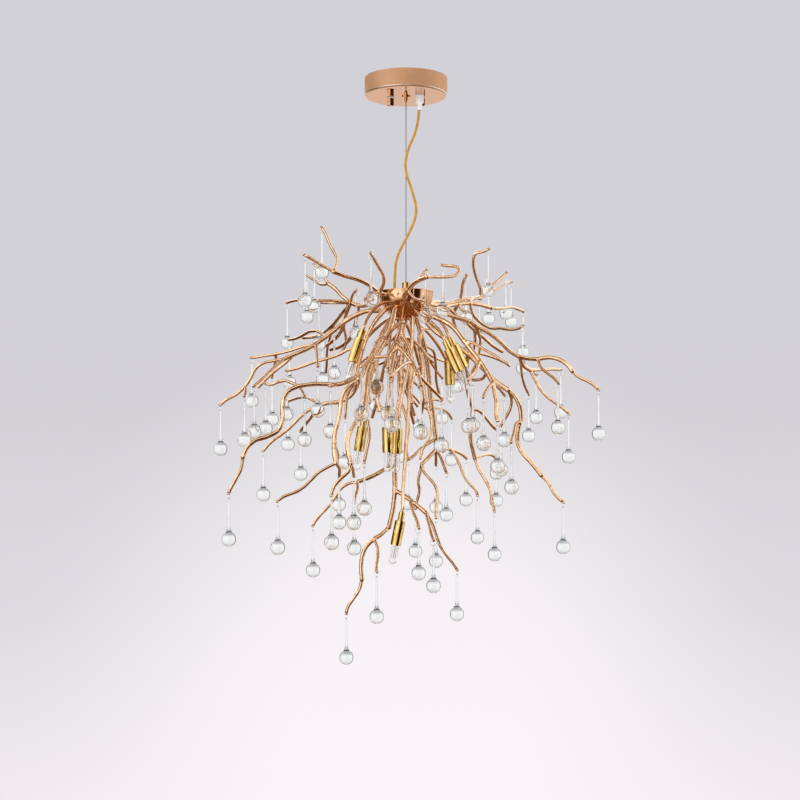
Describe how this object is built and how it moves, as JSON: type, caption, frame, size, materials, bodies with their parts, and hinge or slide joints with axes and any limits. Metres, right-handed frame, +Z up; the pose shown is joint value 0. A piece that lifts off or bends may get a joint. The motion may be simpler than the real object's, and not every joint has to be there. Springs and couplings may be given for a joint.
{
  "type": "branch chandelier",
  "caption": "Hanging chandelier: a round canopy, a steel rope and a hub with cast rose-gold branches that carry glass drops and small capsule lamps.",
  "frame": {"origin": "on the ceiling, at the middle of the canopy", "axes": "+Z up to the ceiling, +X to the right and +Y away from the viewer in the usual front view"},
  "size_m": [0.584, 0.4459, 0.8746],
  "materials": {
    "branch_metal": "cast, polished and plated rose gold",
    "canopy_metal": "mirror rose-gold plate on steel",
    "yellow_brass": "polished yellow brass",
    "drop_glass": "clear, fire-polished",
    "bulb_glass": "clear capsule lamp",
    "ceramic": "white ceramic lampholder",
    "rope_steel": "bright wire rope",
    "zinc_steel": "zinc-plated steel",
    "cord_sheath": "gold sheath, satin",
    "clear_plastic": "clear nylon",
    "white_plastic": "moulded white"
  },
  "bodies": {
    "canopy": {"ceiling_bracket": "zinc_steel", "bracket_studs": "zinc_steel", "canopy_shell": "canopy_metal", "canopy_cap_nuts": "canopy_metal", "gripper_body": "canopy_metal", "gripper_lock_nut": "zinc_steel", "rope_tail": "rope_steel", "cord_grip": "clear_plastic", "cord_grip_nut": "clear_plastic", "terminal_block": "white_plastic", "power_cord": "cord_sheath"},
    "plunger": {"gripper_plunger": "yellow_brass"},
    "fixture": {"drops_front": "drop_glass", "drops_left": "drop_glass", "drops_middle": "drop_glass", "drops_right": "drop_glass", "hub_bowl": "canopy_metal", "hub_grommet": "clear_plastic", "hub_lid": "canopy_metal", "lamp_arms": "branch_metal", "lamp_bulbs": "bulb_glass", "lamp_sleeves": "yellow_brass", "lamp_sockets": "ceramic", "limb_centre": "branch_metal", "limb_front": "branch_metal", "limb_front_left": "branch_metal", "limb_inner_left": "branch_metal", "limb_inner_right": "branch_metal", "limb_left": "branch_metal", "limb_left_rear": "branch_metal", "limb_lower_left": "branch_metal", "limb_lower_right": "branch_metal", "limb_rear": "branch_metal", "limb_right": "branch_metal", "limb_right_front": "branch_metal", "limb_right_rear": "branch_metal", "limb_top": "branch_metal", "limb_upper_left": "branch_metal", "limb_upper_right": "branch_metal", "rope_collar": "yellow_brass", "rope_collar_nut": "zinc_steel", "rope_ferrule": "rope_steel", "suspension_rope": "rope_steel"},
    "drop_upper_left": {"drop_upper_left": "drop_glass"},
    "drop_left_high": {"drop_left_high": "drop_glass"},
    "drop_far_left": {"drop_far_left": "drop_glass"},
    "drop_left_low": {"drop_left_low": "drop_glass"},
    "drop_left_inner": {"drop_left_inner": "drop_glass"},
    "drop_left_bottom": {"drop_left_bottom": "drop_glass"},
    "drop_lowest": {"drop_lowest": "drop_glass"},
    "drop_bottom_middle": {"drop_bottom_middle": "drop_glass"},
    "drop_bottom_right": {"drop_bottom_right": "drop_glass"},
    "drop_bottom_inner": {"drop_bottom_inner": "drop_glass"},
    "drop_bottom_left": {"drop_bottom_left": "drop_glass"},
    "drop_right_inner": {"drop_right_inner": "drop_glass"},
    "drop_right_low": {"drop_right_low": "drop_glass"},
    "drop_right_bottom": {"drop_right_bottom": "drop_glass"},
    "drop_far_right": {"drop_far_right": "drop_glass"},
    "drop_right_front": {"drop_right_front": "drop_glass"},
    "drop_right_high": {"drop_right_high": "drop_glass"}
  },
  "joints": [
    {"name": "plunger_press", "type": "slide", "parent": "canopy", "child": "plunger", "axis": [0, 0, 1], "range_m": [0, 0.0025], "stiffness_N_per_m": 400, "springref_m": -0.002},
    {"name": "fixture_swing", "type": "hinge", "parent": "canopy", "child": "fixture", "pos_m": [0, 0, -0.0351], "axis": [0, 1, 0], "range_deg": [-8, 8], "deforming": ["power_cord"]},
    {"name": "drop_upper_left_swing", "type": "hinge", "parent": "fixture", "child": "drop_upper_left", "pos_m": [-0.14627, -0.07126, -0.27427], "axis": [-0.131, 0.9914, 0], "range_deg": [-15, 15]},
    {"name": "drop_left_high_swing", "type": "hinge", "parent": "fixture", "child": "drop_left_high", "pos_m": [-0.23436, 0.02882, -0.4161], "axis": [0.3215, 0.9469, 0], "range_deg": [-15, 15]},
    {"name": "drop_far_left_swing", "type": "hinge", "parent": "fixture", "child": "drop_far_left", "pos_m": [-0.27559, -0.01806, -0.48896], "axis": [0.0623, 0.9981, 0], "range_deg": [-15, 15]},
    {"name": "drop_left_low_swing", "type": "hinge", "parent": "fixture", "child": "drop_left_low", "pos_m": [-0.25248, -0.10147, -0.61767], "axis": [0, 1, 0], "range_deg": [-15, 15]},
    {"name": "drop_left_inner_swing", "type": "hinge", "parent": "fixture", "child": "drop_left_inner", "pos_m": [-0.21318, -0.00614, -0.5571], "axis": [0.0797, 0.9968, 0], "range_deg": [-15, 15]},
    {"name": "drop_left_bottom_swing", "type": "hinge", "parent": "fixture", "child": "drop_left_bottom", "pos_m": [-0.18054, -0.12479, -0.62778], "axis": [-0.2179, 0.976, 0], "range_deg": [-15, 15]},
    {"name": "drop_lowest_swing", "type": "hinge", "parent": "fixture", "child": "drop_lowest", "pos_m": [-0.08824, -0.02419, -0.79793], "axis": [0.4123, 0.9111, 0], "range_deg": [-15, 15]},
    {"name": "drop_bottom_middle_swing", "type": "hinge", "parent": "fixture", "child": "drop_bottom_middle", "pos_m": [-0.0424, -0.06972, -0.73195], "axis": [-0.9759, -0.2181, 0], "range_deg": [-15, 15]},
    {"name": "drop_bottom_right_swing", "type": "hinge", "parent": "fixture", "child": "drop_bottom_right", "pos_m": [0.07504, -0.03601, -0.73198], "axis": [0.1204, -0.9927, 0], "range_deg": [-15, 15]},
    {"name": "drop_bottom_inner_swing", "type": "hinge", "parent": "fixture", "child": "drop_bottom_inner", "pos_m": [0.01828, -0.07524, -0.66834], "axis": [-0.9801, -0.1986, 0], "range_deg": [-15, 15]},
    {"name": "drop_bottom_left_swing", "type": "hinge", "parent": "fixture", "child": "drop_bottom_left", "pos_m": [-0.13611, -0.04756, -0.66648], "axis": [-0.1239, 0.9923, 0], "range_deg": [-15, 15]},
    {"name": "drop_right_inner_swing", "type": "hinge", "parent": "fixture", "child": "drop_right_inner", "pos_m": [0.11088, 0.07178, -0.62634], "axis": [-0.1728, -0.985, 0], "range_deg": [-15, 15]},
    {"name": "drop_right_low_swing", "type": "hinge", "parent": "fixture", "child": "drop_right_low", "pos_m": [0.22957, -0.05337, -0.63209], "axis": [-0.1315, -0.9913, 0], "range_deg": [-15, 15]},
    {"name": "drop_right_bottom_swing", "type": "hinge", "parent": "fixture", "child": "drop_right_bottom", "pos_m": [0.13439, 0.0243, -0.64894], "axis": [-0.5508, -0.8346, 0], "range_deg": [-15, 15]},
    {"name": "drop_far_right_swing", "type": "hinge", "parent": "fixture", "child": "drop_far_right", "pos_m": [0.28704, -0.01157, -0.46621], "axis": [-0.1638, -0.9865, 0], "range_deg": [-15, 15]},
    {"name": "drop_right_front_swing", "type": "hinge", "parent": "fixture", "child": "drop_right_front", "pos_m": [0.22353, -0.03954, -0.45758], "axis": [-0.8729, -0.488, 0], "range_deg": [-15, 15]},
    {"name": "drop_right_high_swing", "type": "hinge", "parent": "fixture", "child": "drop_right_high", "pos_m": [0.24658, 0.02408, -0.50109], "axis": [-0.0912, -0.9958, 0], "range_deg": [-15, 15]}
  ]
}
